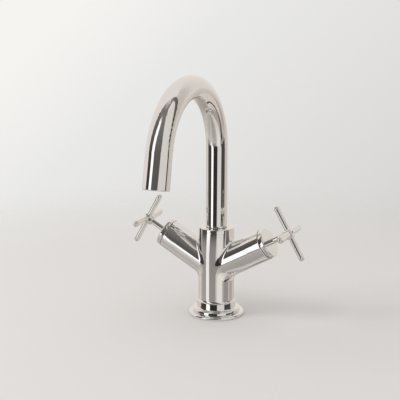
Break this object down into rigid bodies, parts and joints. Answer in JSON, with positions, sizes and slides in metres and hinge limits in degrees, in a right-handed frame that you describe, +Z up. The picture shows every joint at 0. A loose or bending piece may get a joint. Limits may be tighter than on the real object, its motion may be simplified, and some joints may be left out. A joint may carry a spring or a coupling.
{
  "type": "basin mixer tap",
  "caption": "Deck-mounted basin mixer tap with a swivelling swan-neck spout, a Y-shaped chromed body and two quarter-turn cross handles.",
  "frame": {"origin": "centre of the tap's underside on the deck, on the column's axis", "axes": "+Z up along the column, -Y the way the spout reaches, +X towards the cold (right-hand) valve"},
  "size_m": [0.192, 0.1823, 0.3018],
  "materials": {
    "polished_chrome": "mirror polished chrome plate on brass",
    "turned_brass": "turned brass",
    "zinc_plated_steel": "zinc plated steel",
    "stainless_steel": "plain stainless steel",
    "black_rubber": "moulded EPDM rubber",
    "alumina_ceramic": "lapped alumina ceramic",
    "white_acetal": "moulded acetal",
    "red_enamel": "red enamel",
    "blue_enamel": "blue enamel"
  },
  "bodies": {
    "mixer": {"bonnet_cap_left": "polished_chrome", "bonnet_cap_right": "polished_chrome", "deck_gasket": "black_rubber", "fixed_disc_left": "alumina_ceramic", "fixed_disc_right": "alumina_ceramic", "fixing_nut": "zinc_plated_steel", "fixing_stud": "zinc_plated_steel", "headpart_left": "turned_brass", "headpart_right": "turned_brass", "headpart_seal_left": "black_rubber", "headpart_seal_right": "black_rubber", "horseshoe_washer": "zinc_plated_steel", "mixer_body": "polished_chrome", "plinth_gasket": "black_rubber", "plinth_ring": "polished_chrome", "seat_seal_left": "black_rubber", "seat_seal_right": "black_rubber", "spout_lock_screw": "stainless_steel", "spout_slide_ring": "white_acetal"},
    "spout": {"spout_tube": "polished_chrome", "spout_spigot": "turned_brass", "spout_orings": "black_rubber", "aerator_shell": "polished_chrome", "aerator_insert": "white_acetal", "aerator_washer": "black_rubber"},
    "left_handle": {"spindle_left": "turned_brass", "moving_disc_left": "alumina_ceramic", "spindle_oring_left": "black_rubber", "spindle_circlip_left": "stainless_steel", "stem_sleeve_left": "polished_chrome", "cross_handle_left": "polished_chrome", "index_dot_left": "red_enamel", "handle_screw_left": "stainless_steel"},
    "right_handle": {"spindle_right": "turned_brass", "moving_disc_right": "alumina_ceramic", "spindle_oring_right": "black_rubber", "spindle_circlip_right": "stainless_steel", "stem_sleeve_right": "polished_chrome", "cross_handle_right": "polished_chrome", "index_dot_right": "blue_enamel", "handle_screw_right": "stainless_steel"}
  },
  "joints": [
    {"name": "spout_swivel", "type": "hinge", "parent": "mixer", "child": "spout", "pos_m": [0, 0, 0.094], "axis": [0, 0, 1], "range_deg": [-60, 60]},
    {"name": "left_handle_turn", "type": "hinge", "parent": "mixer", "child": "left_handle", "pos_m": [0, 0, 0.0506], "axis": [-0.8738, 0, 0.4863], "range_deg": [0, 90]},
    {"name": "right_handle_turn", "type": "hinge", "parent": "mixer", "child": "right_handle", "pos_m": [0, 0, 0.0506], "axis": [0.8738, 0, 0.4863], "range_deg": [-90, 0]}
  ]
}
